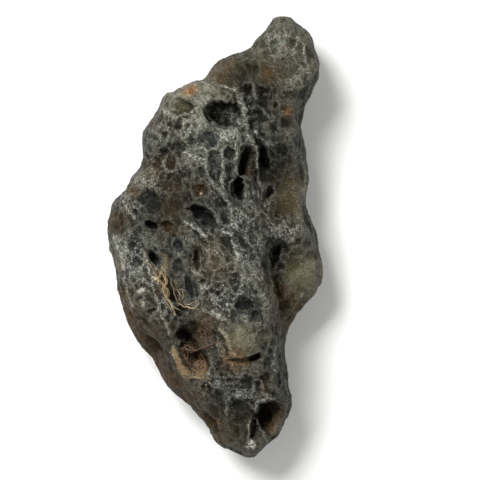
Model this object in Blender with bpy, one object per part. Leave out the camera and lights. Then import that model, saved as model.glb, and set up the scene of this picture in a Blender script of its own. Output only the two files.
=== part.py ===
"""A raw obsidian nodule: one solid of pitted volcanic glass, lying on its flattest side.

The long axis is +Y and the face with the deep pits looks up, along +Z. The origin is on the
surface that the stone rests on, below the middle of its outline.

Plan positions are pixels of the reference photograph, which looks straight down on the
stone. STONE_LENGTH, the one driving dimension, sets how many metres a pixel is worth.
Heights are millimetres above the surface that the stone rests on.
"""

import math

import bmesh
import bpy
import numpy as np
from mathutils import Euler, Matrix, Vector, noise
from mathutils.bvhtree import BVHTree
from mathutils.geometry import delaunay_2d_cdt

STONE_LENGTH = 0.070
PHOTO_TOP, PHOTO_BOTTOM = 16, 458
PHOTO_LEFT, PHOTO_RIGHT = 107, 323
PIXEL = STONE_LENGTH / (PHOTO_BOTTOM - PHOTO_TOP)
MM = 0.001
CLOSE = 1e-7

OBSIDIAN_COLOUR = (0.085, 0.088, 0.078, 1.0)
OBSIDIAN_ROUGHNESS = 0.45

# Mesh sizes: along an outline, across a plan, of the voxels that fuse shapes, and in all
OUTLINE_STEP = 0.0008
PLAN_STEP = 0.0009
VOXEL = 0.00042
TRIANGLES = 9500

# Rounds of smoothing for the creases where the lumps meet, and how strong each is
SOFTEN_ROUNDS, SOFTEN_STRENGTH = 4, 0.5

# How far a given height reaches into the plan around it
HEIGHT_REACH = 15 * PIXEL

# The whole stone, with its low parts at their real height: the horn at the top right, the
# trough below it, the wing at the right and the flank along the left. The plateau covers it
# elsewhere.
STONE_OUTLINE = [
    (284, 16), (293, 20), (305, 29), (313, 37), (319, 54), (320, 68), (314, 84), (308, 104),
    (304, 140), (304, 160), (307, 182), (308, 212), (315, 230), (320, 254), (323, 267),
    (319, 286), (310, 301), (297, 314), (286, 329), (283, 346), (286, 371), (291, 395),
    (290, 413), (281, 434), (264, 446), (258, 453), (250, 458), (240, 454), (222, 446),
    (207, 429), (195, 413), (182, 398), (164, 380), (152, 358), (139, 341), (131, 325),
    (124, 307), (118, 288), (111, 268), (107, 246), (109, 228), (116, 200), (126, 187),
    (131, 175), (142, 169), (147, 150), (145, 133), (154, 121), (161, 105), (166, 92),
    (180, 86), (192, 80), (203, 80), (208, 70), (220, 58), (235, 50), (250, 45), (259, 35),
    (270, 27), (275, 18),
]
LOW_HEIGHTS = [
    (283, 22, 12.4), (299, 33, 13.6), (288, 45, 15.2), (304, 60, 15.4), (317, 60, 11.0),
    (270, 50, 13.8), (258, 44, 12.2), (245, 58, 12.2), (226, 62, 11.2), (213, 72, 10.0),
    (235, 78, 10.8), (252, 80, 11.6), (275, 72, 14.2), (300, 85, 15.2), (248, 98, 11.0),
    (265, 102, 11.6), (284, 95, 14.6), (300, 112, 14.8), (262, 122, 11.6), (280, 122, 13.8),
    (274, 138, 13.0), (297, 138, 14.8), (270, 160, 12.4), (286, 160, 13.0), (300, 165, 15.2),
    (274, 180, 12.4), (287, 188, 13.0), (302, 195, 15.2), (275, 205, 13.0), (290, 213, 14.0),
    (304, 222, 14.6), (288, 232, 15.6), (308, 242, 13.4), (280, 256, 11.0), (294, 256, 12.8),
    (310, 262, 12.2), (320, 268, 9.8), (282, 280, 10.4), (296, 282, 11.6), (312, 285, 10.2),
    (286, 305, 9.8), (300, 302, 9.8), (288, 320, 9.0),
    (115, 225, 9.6), (112, 255, 10.4), (121, 292, 10.6), (134, 328, 10.2), (155, 360, 10.0),
    (182, 392, 10.2), (205, 422, 9.6), (240, 450, 7.6), (280, 400, 10.6), (278, 350, 11.2),
    (155, 140, 12.0), (200, 120, 13.0), (190, 180, 13.5), (150, 230, 12.0), (220, 240, 14.5),
    (165, 290, 12.5), (240, 300, 14.5), (215, 360, 12.5), (245, 410, 10.5),
]
LOW_RIM, LOW_EDGE = 7.2, 2.6

# The underside's height: a broad belly that touches the ground below the middle
BELLY_HEIGHTS = [
    (285, 35, 4.6), (300, 85, 3.8), (235, 75, 3.4), (190, 110, 1.6), (280, 150, 2.2),
    (165, 170, 1.2), (225, 180, -0.2), (125, 240, 2.2), (180, 240, -0.3), (240, 260, -0.3),
    (300, 240, 2.8), (310, 275, 4.4), (150, 310, 1.3), (220, 325, -0.2), (270, 340, 1.1),
    (190, 370, 1.5), (240, 390, 0.9), (270, 415, 2.4), (240, 440, 3.4),
]
BELLY_EDGE = 8.0

# Half of the gap at the rim between a lump's upper and lower side
RIM_GAP = 0.05

# The plateau, which has the deep pits: the bright lobe, the broad middle and the tail
PLATEAU_OUTLINE = [
    (193, 81), (205, 80), (214, 82), (224, 87), (233, 88), (239, 95), (241, 108), (246, 122),
    (256, 131), (263, 139), (266, 147), (260, 159), (258, 176), (261, 192), (266, 207),
    (273, 219), (284, 223), (293, 224), (296, 231), (285, 240), (273, 245), (270, 262),
    (272, 280), (277, 300), (280, 330), (281, 352), (284, 372), (288, 394), (287, 412),
    (278, 433), (264, 444), (250, 455), (238, 449), (224, 437), (213, 420), (203, 405),
    (190, 388), (175, 369), (163, 354), (150, 337), (138, 320), (129, 304), (122, 272),
    (114, 250), (114, 238), (127, 222), (124, 203), (130, 186), (140, 174), (148, 163),
    (150, 148), (148, 133), (157, 119), (164, 104), (169, 93), (181, 87),
]
PLATEAU_HEIGHTS = [
    (195, 90, 16.2), (225, 95, 16.6), (174, 103, 15.2), (165, 122, 15.2), (240, 125, 17.4),
    (200, 132, 17.2), (155, 140, 14.2), (252, 140, 17.6), (220, 160, 18.0), (182, 160, 16.8),
    (152, 168, 14.6), (256, 172, 17.2), (214, 200, 18.0), (172, 200, 16.0), (142, 195, 14.6),
    (132, 212, 13.4), (263, 202, 17.8), (240, 228, 19.2), (200, 236, 17.2), (165, 235, 15.6),
    (120, 240, 13.8), (274, 232, 17.6), (290, 231, 15.8), (262, 262, 19.4), (226, 270, 19.2),
    (192, 268, 17.2), (168, 275, 15.2), (148, 260, 14.2), (130, 275, 14.0), (205, 300, 18.2),
    (178, 302, 15.2), (150, 300, 14.6), (268, 305, 18.8), (238, 308, 18.2), (215, 322, 18.0),
    (185, 325, 15.6), (160, 332, 13.8), (140, 312, 12.6), (272, 345, 17.0), (240, 340, 18.0),
    (215, 350, 16.4), (190, 355, 14.6), (172, 355, 12.8), (242, 374, 15.8), (277, 380, 14.6),
    (210, 385, 14.4), (250, 400, 14.4), (281, 405, 12.8), (228, 415, 13.0), (250, 430, 12.2),
    (240, 445, 10.2), (206, 402, 12.4), (268, 436, 10.6),
]
PLATEAU_RIM, PLATEAU_EDGE = 11.0, 2.2
PLATEAU_UNDERSIDE = [(200, 200, 6.0)]

# Smooth glass lip that bulges over the soil hollow: centre and half sizes in plan, turn in
# degrees, and its middle and half thickness in millimetres from the plateau
LIP = {"at": (241, 338), "half": (21, 16), "turn": -35, "above": -0.7, "thick": 1.9}

# Pits: centre, half length and half width in pixels, turn of the long side in degrees
# from +X, depth in millimetres, and how far its floor leans under the rim along +X and +Y
PITS = {
    "crown_hole": ((224, 116), 19, 14, -30, 5.4, (-0.5, 0.1)),
    "crown_dish": ((182, 107), 16, 9, -4, 1.8, (0.0, 0.2)),
    "lobe_dish": ((209, 139), 12, 11, 0, 0.9, (0.0, 0.0)),
    "slot_upper": ((246, 163), 18, 7, 80, 5.0, (-0.35, 0.2)),
    "slot_lower": ((238, 190), 12, 6, -78, 5.2, (-0.5, 0.0)),
    "trough": ((285, 186), 48, 14, 93, 1.5, (-0.4, 0.0)),
    "trough_top": ((267, 157), 14, 9, 80, 3.8, (-0.5, 0.3)),
    "trough_eye": ((270, 195), 8, 6, 80, 2.4, (-0.5, 0.0)),
    "middle_dish": ((204, 217), 19, 11, -42, 2.8, (0.0, 0.1)),
    "upper_pair": ((214, 158), 9, 7, 80, 1.7, (-0.1, 0.2)),
    "lower_pair": ((216, 176), 7, 6, 80, 1.6, (-0.1, 0.2)),
    "small_oval": ((229, 154), 7, 6, 80, 1.6, (-0.1, 0.2)),
    "flute": ((230, 172), 10, 4, 84, 1.4, (-0.1, 0.0)),
    "brown_ring": ((172, 163), 7, 7, 0, 1.6, (0.0, 0.2)),
    "brown_oval": ((159, 163), 6, 9, 0, 1.3, (0.0, 0.2)),
    "crumb_pit": ((203, 190), 7, 8, 0, 1.7, (0.0, 0.2)),
    "west_shelf": ((150, 200), 16, 9, -25, 1.6, (0.0, 0.2)),
    "shoulder_pit": ((155, 226), 9, 6, -10, 1.9, (0.0, 0.2)),
    "band_pit": ((170, 227), 7, 9, 0, 1.7, (0.0, 0.2)),
    "band_pit_low": ((176, 243), 8, 8, 0, 1.4, (0.0, 0.2)),
    "blue_pit": ((156, 259), 12, 6, -52, 2.8, (-0.2, 0.1)),
    "root_groove": ((173, 292), 28, 7, -62, 2.6, (0.1, 0.0)),
    "groove_right": ((191, 285), 16, 7, -68, 1.7, (0.0, 0.0)),
    "groove_top": ((198, 256), 7, 13, 0, 1.7, (-0.1, 0.0)),
    "black_pit": ((188, 336), 13, 8, -40, 4.0, (-0.3, 0.2)),
    "soil_pit": ((196, 357), 18, 11, -62, 4.4, (-0.1, 0.2)),
    "lip_gutter": ((242, 361), 18, 6, -4, 2.6, (0.0, 0.8)),
    "lip_hole": ((256, 356), 8, 5, 20, 3.2, (0.0, 0.9)),
    "tail_hole": ((271, 418), 19, 13, 94, 6.2, (-0.45, 0.2)),
    "tail_eye": ((254, 433), 9, 5, 84, 2.0, (0.0, 0.2)),
    "tail_dish": ((240, 410), 15, 10, -20, 1.1, (0.0, 0.0)),
    "side_cave_top": ((277, 256), 15, 8, 88, 3.4, (-0.8, 0.0)),
    "side_cave_low": ((281, 287), 19, 6, -80, 2.8, (-0.8, 0.0)),
    "horn_pit": ((247, 93), 8, 7, 90, 1.8, (0.0, 0.2)),
    "horn_hole": ((266, 94), 8, 7, 0, 2.4, (0.0, 0.2)),
    "horn_low": ((262, 112), 12, 9, -30, 1.5, (0.0, 0.0)),
    "ridge_dish": ((247, 305), 15, 9, -15, 1.4, (0.0, 0.0)),
    "edge_dish": ((258, 318), 7, 8, 0, 1.3, (0.0, 0.0)),
    "low_dish": ((248, 382), 8, 9, 0, 1.4, (0.0, 0.1)),
    "east_dish": ((262, 384), 7, 9, 0, 1.4, (0.0, 0.1)),
    "flank_dish": ((156, 345), 14, 9, -55, 1.5, (0.0, 0.0)),
    "flank_dish_up": ((146, 324), 12, 7, -50, 1.3, (0.0, 0.0)),
    "knee_groove": ((281, 363), 12, 4, 86, 1.6, (-0.3, 0.0)),
}

# Places seen from above that are smooth: centre and radius in pixels
SMOOTH_SPOTS = [((230, 66), 28), ((302, 278), 30), ((241, 338), 24)]

# The widest band, which gives the stone its outline: its height and half width in metres
GIRTH, GIRTH_HALF_WIDTH = 0.0072, 0.0022

# Small pits strewn over the rest of the skin: how many, and their radii in metres
SMALL_PITS = 130
SMALL_PIT_SEED = 11
SMALL_PIT_RADII = (0.0008, 0.0019)
SMALL_PIT_LENGTHS = (1.0, 1.8)
SMALL_PIT_DEPTHS = (0.45, 0.95)

# Broad unevenness, and shallow scallops that meet in ridges all over the stone
SWELL_SIZE, SWELL_DEPTH = 0.0075, 0.0008
SCALLOP_SIZE, SCALLOP_DEPTH = 0.0034, 0.0006
SCALLOP_STRETCH = 1.5
SCALLOP_SHARPNESS = 2.2
SCALLOP_TURN = math.radians(-62)


def plan(px, py):
    """The plan position, in metres, of a pixel of the photograph."""
    middle_x = (PHOTO_LEFT + PHOTO_RIGHT) / 2
    middle_y = (PHOTO_TOP + PHOTO_BOTTOM) / 2
    return (px - middle_x) * PIXEL, (middle_y - py) * PIXEL


def smooth_outline(corners):
    """A closed curve through the corners (Catmull-Rom), as points about OUTLINE_STEP apart."""
    knots = [np.array(plan(*corner)) for corner in corners]
    count = len(knots)
    points = []
    for i in range(count):
        before, start, end, after = (knots[(i + k) % count] for k in (-1, 0, 1, 2))
        steps = max(1, round(np.linalg.norm(end - start) / OUTLINE_STEP))
        for step in range(steps):
            t = step / steps
            points.append(
                0.5 * (
                    2 * start
                    + (end - before) * t
                    + (2 * before - 5 * start + 4 * end - after) * t**2
                    + (3 * start - before - 3 * end + after) * t**3
                )
            )
    return np.array(points)


def distance_to_outline(points, outline):
    """How far each plan point is from the closed outline."""
    start = outline
    along = np.roll(outline, -1, axis=0) - start
    offset = points[:, None] - start[None]
    share = np.clip((offset * along).sum(2) / (along**2).sum(1), 0, 1)
    nearest = offset - share[..., None] * along
    return np.sqrt((nearest**2).sum(2)).min(1)


def blended_height(points, heights):
    """Heights at plan points: a Gaussian-weighted mean of the given heights."""
    spots = np.array([plan(px, py) for px, py, _ in heights])
    values = np.array([height for _, _, height in heights]) * MM
    gap = ((points[:, None] - spots[None]) ** 2).sum(2)
    nearest_first = gap - gap.min(1, keepdims=True)
    weight = np.exp(-nearest_first / (2 * HEIGHT_REACH**2))
    return (weight * values).sum(1) / weight.sum(1)


def rounded(distance, width):
    """0 at the rim, rising like a quarter circle to 1 at that width inside it."""
    share = np.clip(distance / width, 0, 1)
    return np.sqrt(1 - (1 - share) ** 2)


def plan_mesh(outline):
    """The outline filled with even triangles, as a bmesh at z = 0."""
    low, high = outline.min(0), outline.max(0)
    columns = np.arange(low[0], high[0], PLAN_STEP)
    rows = np.arange(low[1], high[1], PLAN_STEP)
    grid = np.array([(x + (j % 2) * PLAN_STEP / 2, y) for j, y in enumerate(rows) for x in columns])
    grid = grid[distance_to_outline(grid, outline) > 0.5 * PLAN_STEP]
    points = [Vector(p) for p in outline] + [Vector(p) for p in grid]
    ring = list(range(len(outline)))
    edges = [(i, (i + 1) % len(outline)) for i in ring]
    inside_only = 1
    verts, _, faces, *_ = delaunay_2d_cdt(points, edges, [ring], inside_only, CLOSE)
    filled = bmesh.new()
    made = [filled.verts.new((v.x, v.y, 0)) for v in verts]
    for face in faces:
        filled.faces.new([made[i] for i in face])
    return filled


def lump(corners, rim, top, top_edge, under, under_edge):
    """A closed lump with that outline, domed from its rim to the heights above and below."""
    outline = smooth_outline(corners)
    shape = plan_mesh(outline)
    lower = list(shape.verts)
    raised = bmesh.ops.extrude_face_region(shape, geom=shape.faces[:], use_keep_orig=True)
    upper = [item for item in raised["geom"] if isinstance(item, bmesh.types.BMVert)]
    for verts, heights, edge, side in ((upper, top, top_edge, 1), (lower, under, under_edge, -1)):
        points = np.array([(v.co.x, v.co.y) for v in verts])
        reach = blended_height(points, heights) - rim * MM
        share = rounded(distance_to_outline(points, outline), edge * MM)
        for vert, z in zip(verts, (rim + RIM_GAP * side) * MM + reach * share):
            vert.co.z = z
    bmesh.ops.recalc_face_normals(shape, faces=shape.faces[:])
    return shape


def ellipsoid(centre, half, turn):
    """A closed ellipsoid as a bmesh, turned by a matrix about its centre."""
    ball = bmesh.new()
    bmesh.ops.create_icosphere(ball, subdivisions=3, radius=1.0)
    stretch = Matrix.Diagonal((*half, 1.0))
    ball.transform(Matrix.Translation(centre) @ turn.to_4x4() @ stretch)
    return ball


def joined(name, shapes):
    """One object of several closed shapes, which may overlap."""
    mesh = bpy.data.meshes.new(name)
    whole = bmesh.new()
    for shape in shapes:
        shape.to_mesh(mesh)
        shape.free()
        whole.from_mesh(mesh)
    mesh.clear_geometry()
    whole.to_mesh(mesh)
    whole.free()
    made = bpy.data.objects.new(name, mesh)
    bpy.context.scene.collection.objects.link(made)
    return made


def fuse(target, voxel):
    """A Remesh modifier, which turns overlapping closed shapes into one skin of even faces."""
    remesh = target.modifiers.new("Fuse", "REMESH")
    remesh.mode = "VOXEL"
    remesh.voxel_size = voxel


def apply_modifiers(target):
    """Replaces the object's mesh by what its modifiers make of it."""
    graph = bpy.context.evaluated_depsgraph_get()
    made = bpy.data.meshes.new_from_object(target.evaluated_get(graph))
    target.modifiers.clear()
    target.data = made


def lip_lump():
    """The smooth lip of glass over the soil hollow."""
    x, y = plan(*LIP["at"])
    height = blended_height(np.array([(x, y)]), PLATEAU_HEIGHTS)[0] + LIP["above"] * MM
    half = (LIP["half"][0] * PIXEL, LIP["half"][1] * PIXEL, LIP["thick"] * MM)
    turn = Euler((0, 0, math.radians(LIP["turn"]))).to_matrix()
    return ellipsoid((x, y, height), half, turn)


def fused_lumps():
    """The stone's broad forms in one skin: the low lump, the plateau on it and the lip."""
    low = lump(STONE_OUTLINE, LOW_RIM, LOW_HEIGHTS, LOW_EDGE, BELLY_HEIGHTS, BELLY_EDGE)
    plateau = lump(
        PLATEAU_OUTLINE, PLATEAU_RIM, PLATEAU_HEIGHTS, PLATEAU_EDGE, PLATEAU_UNDERSIDE, PLATEAU_EDGE
    )
    stone = joined("stone", [low, plateau, lip_lump()])
    fuse(stone, VOXEL)
    soften = stone.modifiers.new("Soften", "SMOOTH")
    soften.factor = SOFTEN_STRENGTH
    soften.iterations = SOFTEN_ROUNDS
    apply_modifiers(stone)
    return stone


def scallop(position):
    """Depth share, 0 on a ridge to 1 in the middle of a scallop, stretched along the grain."""
    turned = Matrix.Rotation(-SCALLOP_TURN, 3, "Z") @ position
    turned.x /= SCALLOP_STRETCH
    near, next_near = noise.voronoi(turned / SCALLOP_SIZE)[0][:2]
    return min(1.0, SCALLOP_SHARPNESS * (next_near - near))


def roughen(stone):
    """Moves every point of the skin in or out: a broad swell, less the scallops."""
    normals = [vert.normal.copy() for vert in stone.data.vertices]
    for vert, normal in zip(stone.data.vertices, normals):
        swell = noise.noise(vert.co / SWELL_SIZE) * SWELL_DEPTH
        vert.co += normal * (swell + (0.5 - scallop(vert.co)) * SCALLOP_DEPTH)
    # Folds that this makes in the creases would spoil the Boolean
    fuse(stone, VOXEL)
    apply_modifiers(stone)


def skin_of(stone):
    """A tree of the stone's faces, for finding its surface."""
    return BVHTree.FromPolygons(
        [vert.co for vert in stone.data.vertices],
        [face.vertices for face in stone.data.polygons],
    )


def named_pits(skin):
    """The pits of PITS, each centred on the surface seen from above."""
    cutters = []
    for centre, long_half, wide_half, turn_degrees, depth, lean in PITS.values():
        x, y = plan(*centre)
        surface = skin.ray_cast(Vector((x, y, STONE_LENGTH)), Vector((0, 0, -1)))[0]
        half = (long_half * PIXEL, wide_half * PIXEL, depth * MM)
        turn = Euler((0, 0, math.radians(turn_degrees))).to_matrix()
        shear = Matrix(((1, 0, -lean[0]), (0, 1, -lean[1]), (0, 0, 1)))
        cutters.append(ellipsoid(surface, half, shear @ turn))
    return cutters


def may_have_small_pit(face):
    """Whether a face of the skin is off the smooth places and off the outline's band."""
    if abs(face.center.z - GIRTH) < GIRTH_HALF_WIDTH:
        return False
    spot = face.center.xy
    seen_from_above = face.normal.z > 0
    near_smooth = any((spot - Vector(plan(*at))).length < size * PIXEL for at, size in SMOOTH_SPOTS)
    return not (seen_from_above and near_smooth)


def small_pits(stone):
    """Small pits strewn over the skin, each flattened along its surface's normal."""
    chance = np.random.default_rng(SMALL_PIT_SEED)
    faces = [face for face in stone.data.polygons if may_have_small_pit(face)]
    cutters = []
    for index in chance.choice(len(faces), SMALL_PITS, replace=False):
        face = faces[index]
        radius = chance.uniform(*SMALL_PIT_RADII)
        length = radius * chance.uniform(*SMALL_PIT_LENGTHS)
        half = (length, radius, radius * chance.uniform(*SMALL_PIT_DEPTHS))
        facing = face.normal.to_track_quat("Z", "Y").to_matrix()
        spin = Matrix.Rotation(chance.uniform(0, math.pi), 3, "Z")
        cutters.append(ellipsoid(face.center, half, facing @ spin))
    return cutters


def cut_pits(stone):
    """Takes the pits out of the stone with one Boolean."""
    cutter = joined("pit_cutter", named_pits(skin_of(stone)) + small_pits(stone))
    fuse(cutter, VOXEL)
    cutter.hide_render = True
    cutter.display_type = "WIRE"
    cut = stone.modifiers.new("Pits", "BOOLEAN")
    cut.operation = "DIFFERENCE"
    cut.solver = "EXACT"
    cut.object = cutter


def thin_out(stone):
    """Few enough triangles for a light solid, kept where the surface bends."""
    fuse(stone, VOXEL)
    apply_modifiers(stone)
    triangles = sum(len(face.vertices) - 2 for face in stone.data.polygons)
    fewer = stone.modifiers.new("Fewer", "DECIMATE")
    fewer.ratio = TRIANGLES / triangles
    apply_modifiers(stone)


def set_down(stone):
    """Cuts the belly flat where it meets the ground, and centres the outline on the origin."""
    up = Vector((0, 0, 1))
    shape = bmesh.new()
    shape.from_mesh(stone.data)
    everything = shape.verts[:] + shape.edges[:] + shape.faces[:]
    bmesh.ops.bisect_plane(
        shape, geom=everything, dist=CLOSE, plane_co=(0, 0, 0), plane_no=up, clear_inner=True
    )
    cut = [edge for edge in shape.edges if edge.is_boundary]
    bmesh.ops.triangle_fill(shape, edges=cut, use_beauty=True, normal=-up)
    bmesh.ops.recalc_face_normals(shape, faces=shape.faces[:])
    shape.to_mesh(stone.data)
    shape.free()
    points = np.array([vert.co for vert in stone.data.vertices])
    middle = (points.min(0) + points.max(0)) / 2
    stone.data.transform(Matrix.Translation((-middle[0], -middle[1], 0)))


def obsidian():
    """Dark grey-green volcanic glass with a worn, waxy surface."""
    material = bpy.data.materials.new("obsidian")
    material.use_nodes = True
    shader = material.node_tree.nodes["Principled BSDF"]
    shader.inputs["Base Color"].default_value = OBSIDIAN_COLOUR
    shader.inputs["Roughness"].default_value = OBSIDIAN_ROUGHNESS
    shader.inputs["Metallic"].default_value = 0.0
    return material


def main():
    for old in list(bpy.data.objects):
        bpy.data.objects.remove(old)
    stone = fused_lumps()
    roughen(stone)
    cut_pits(stone)
    thin_out(stone)
    set_down(stone)
    stone.data.shade_smooth()
    stone.data.materials.clear()
    stone.data.materials.append(obsidian())


main()
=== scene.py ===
"""The looks of a raw obsidian nodule, seen from straight above on a pale floor.

The stone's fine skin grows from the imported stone: its pits are cut crisper, its crests are
raised, and cells of two sizes roughen it. Dry rootlets, soil and pale crumbs lie in the pits.

Plan positions are pixels of the reference photograph, which looks straight down on the
stone. PIXEL is how many metres a pixel is worth. Other lengths are metres, and MM marks
those that are given in millimetres.
"""

import math
from functools import partial

import bmesh
import bpy
import numpy as np
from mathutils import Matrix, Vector, noise
from mathutils.bvhtree import BVHTree


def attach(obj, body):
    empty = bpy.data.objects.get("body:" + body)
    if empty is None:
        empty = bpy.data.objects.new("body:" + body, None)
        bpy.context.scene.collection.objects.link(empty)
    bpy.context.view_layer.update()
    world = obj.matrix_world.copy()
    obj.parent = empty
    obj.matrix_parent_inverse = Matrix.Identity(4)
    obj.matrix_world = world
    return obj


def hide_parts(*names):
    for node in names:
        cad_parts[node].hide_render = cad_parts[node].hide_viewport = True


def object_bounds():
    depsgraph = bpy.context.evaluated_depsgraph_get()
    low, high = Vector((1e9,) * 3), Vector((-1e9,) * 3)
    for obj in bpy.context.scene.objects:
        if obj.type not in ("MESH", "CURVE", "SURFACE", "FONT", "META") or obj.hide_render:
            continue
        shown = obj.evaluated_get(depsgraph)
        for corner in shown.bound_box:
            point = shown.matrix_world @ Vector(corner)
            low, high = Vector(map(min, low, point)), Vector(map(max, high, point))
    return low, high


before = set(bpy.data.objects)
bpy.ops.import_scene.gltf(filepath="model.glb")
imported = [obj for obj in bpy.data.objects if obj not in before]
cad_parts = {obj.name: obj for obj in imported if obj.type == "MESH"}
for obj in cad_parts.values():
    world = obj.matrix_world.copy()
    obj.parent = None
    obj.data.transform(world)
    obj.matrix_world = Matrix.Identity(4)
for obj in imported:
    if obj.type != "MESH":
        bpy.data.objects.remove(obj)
cad_low, cad_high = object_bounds()

STONE_LENGTH = 0.070
PHOTO_SIZE = 480
PHOTO_TOP, PHOTO_BOTTOM = 16, 458
PHOTO_LEFT, PHOTO_RIGHT = 107, 323
PIXEL = STONE_LENGTH / (PHOTO_BOTTOM - PHOTO_TOP)
MIDDLE_X = (PHOTO_LEFT + PHOTO_RIGHT) / 2
MIDDLE_Y = (PHOTO_TOP + PHOTO_BOTTOM) / 2
MM = 0.001
TINY = 1e-12

# Blender's vector noise starts from the clock unless it is given a seed
NOISE_SEED = 1
noise.seed_set(NOISE_SEED)

# The skin: voxel sizes of its two passes, smoothing between them, and its triangles
BASE_VOXEL = 0.25 * MM
SKIN_VOXEL = 0.21 * MM
BASE_ROUNDS = 22
SKIN_TRIANGLES = 190000

# Pits seen from above: centre, half length and half width in pixels, turn of the long side
# in degrees from +X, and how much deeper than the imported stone's they are, in millimetres
PITS = [
    # Horn
    (303, 35, 4, 3.5, -30, 1.0), (268, 91, 3, 3, 0, 0.8), (248, 90, 5, 7, 0, 0.40),
    (276, 105, 3.5, 3.5, 0, 0.55),
    # Lobe
    (203, 88, 4, 4, 0, 0.20), (223, 92, 4, 4, 0, 0.20), (171, 163, 7, 8, 0, 0.45),
    (159, 164, 6, 8, 0, 0.30),
    # Slots and trough
    (229, 169, 6, 5, 80, 0.35), (269, 193, 7, 5, 80, 0.9), (249, 208, 2, 3, 0, 0.5),
    (248, 195, 5, 8, 10, 0.35), (228, 185, 10, 4, 80, 0.4),
    # Upper middle
    (201, 190, 8, 7, 0, 0.55), (135, 192, 5, 4, -20, 0.40), (152, 225, 7, 5, -20, 0.70),
    (168, 226, 5, 7, 0, 0.65), (179, 245, 5, 7, 0, 0.55), (213, 230, 5, 4, 0, 0.25),
    (225, 219, 4, 7, 30, 0.30), (240, 222, 5, 8, 30, 0.30), (252, 238, 6, 7, 30, 0.30),
    (243, 243, 5, 8, 20, 0.30),
    # Left and root groove
    (155, 259, 11, 5, -60, 1.0), (173, 295, 8, 4, -75, 0.9), (164, 280, 14, 5, -70, 0.5),
    (151, 311, 4, 4, 0, 0.55), (135, 262, 6, 6, 0, 0.25), (131, 280, 5, 6, 0, 0.25),
    (144, 286, 5, 5, 0, 0.25), (140, 300, 5, 5, 0, 0.25), (133, 246, 5, 5, 0, 0.25),
    (179, 266, 6, 8, -10, 0.45), (184, 308, 5, 5, 0, 0.45), (169, 316, 4, 5, 0, 0.35),
    # Middle
    (197, 262, 14, 3, 95, 0.6), (190, 287, 12, 4, -72, 0.6), (203.5, 281, 2.3, 2.3, 0, 0.7),
    (215, 262, 6, 8, 0, 0.25), (217, 289, 7, 6, 0, 0.30), (230, 262, 5, 8, 20, 0.25),
    (253, 262, 6, 8, 10, 0.25), (250, 283, 5, 4, 0, 0.20), (229, 300, 5, 4, 0, 0.25),
    # Soil pits and lip
    (255, 356, 9, 4, 15, 1.0),
    # Low part and tail
    (207, 387, 7, 5, -20, 0.35), (221, 374, 3, 3, 0, 0.40), (229, 380, 4, 3, 0, 0.30),
    (253, 434, 8, 4, 86, 0.8),
    # Side cave
    (277, 249, 7, 4, 70, 0.7), (280, 266, 4, 4, 0, 0.8), (279, 290, 9, 4, -80, 0.5),
]
# Soft hollows, given as the pits are, but without a rim
HOLLOWS = [
    (262, 94, 9, 5, 0, 0.35), (260, 104, 10, 4, 0, 0.30), (269, 192, 5, 7, 0, 0.6),
    (276, 31, 5, 4, 30, 0.20), (290, 43, 5, 7, -20, 0.20), (274, 43, 4, 4, 0, 0.20),
    (274, 52, 4, 4, 0, 0.20), (284, 24, 6, 4, 10, 0.15), (289, 64, 5, 5, 0, 0.20),
    (252, 120, 7, 5, 40, 0.25), (274, 127, 8, 5, 50, 0.25), (209, 139, 11, 10, 0, 0.30),
    (190, 140, 5, 6, 0, 0.15), (178, 128, 5, 4, 0, 0.12), (150, 203, 12, 13, 30, 0.45),
    (244, 303, 11, 8, -20, 0.55), (257, 316, 7, 7, 0, 0.50), (235, 316, 6, 6, 0, 0.35),
    (246, 383, 7, 9, 0, 0.40), (257, 387, 4, 7, 0, 0.40), (266, 384, 5, 10, 0, 0.35),
    (240, 404, 11, 7, -15, 0.40), (222, 411, 8, 6, -30, 0.25), (236, 423, 8, 6, 0, 0.20),
    (278, 190, 10, 8, 60, 0.30),
]

# Rims of pits and holes: height, then half their breadth and how far outside the edge they
# stand, both in pixels, and the share of the height that the holes' rims have
PIT_RIM = 0.14 * MM
RIM_REACH = 1.1
RIM_OFFSET = 0.8
HOLE_RIM_SHARE = 0.9

# How far in from a hole's outline its wall ends, in pixels
WALL_REACH = 3.0

# Holes with outlines of their own, seen from above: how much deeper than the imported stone's
# they are at their left and right sides, in millimetres, and the outline in pixels
HOLES = {
    "crown dish": (0.2, 0.35, [
        (167, 99), (180, 97), (190, 100), (200, 107), (190, 113), (178, 117), (168, 113),
        (163, 106),
    ]),
    "crown hole": (0.4, 0.4, [
        (206, 107), (211, 102), (220, 100), (234, 102), (240, 109), (241, 122), (237, 130), (224, 130),
        (217, 126), (211, 119),
    ]),
    "first column": (0.6, 0.6, [
        (208, 152), (215, 150), (220, 154), (221, 178), (214, 183), (208, 174),
    ]),
    "second column": (0.6, 0.6, [
        (224, 148), (230, 146), (235, 149), (235, 160), (229, 165), (224, 160),
    ]),
    "brown slot": (1.3, 0.5, [
        (239, 151), (243, 146), (251, 145), (255, 152), (256, 165), (254, 175), (247, 178),
        (240, 176),
    ]),
    "pocket": (0.9, 0.1, [
        (258, 149), (263, 146), (268, 149), (270, 156), (271, 165), (268, 172), (263, 168),
        (259, 160),
    ]),
    "slit": (0.8, 0.8, [(235, 176), (241, 178), (244, 188), (245, 203), (238, 201), (233, 190)]),
    "middle dish": (1.1, 0.7, [
        (186, 207), (194, 203), (204, 206), (213, 214), (220, 224), (217, 230), (206, 225),
        (194, 218),
    ]),
    "black pit": (0.8, 0.8, [
        (179, 329), (185, 327), (192, 333), (198, 341), (196, 346), (188, 342), (180, 335),
    ]),
    "soil pit": (0.5, 0.6, [
        (177, 343), (186, 342), (198, 347), (208, 351), (212, 361), (208, 372), (198, 377),
        (187, 374), (179, 361),
    ]),
    "tail hole": (0.6, 0.2, [
        (257, 403), (264, 399), (277, 400), (286, 409), (288, 420), (283, 432), (275, 439), (267, 439),
        (260, 427), (257, 414),
    ]),
}

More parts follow.
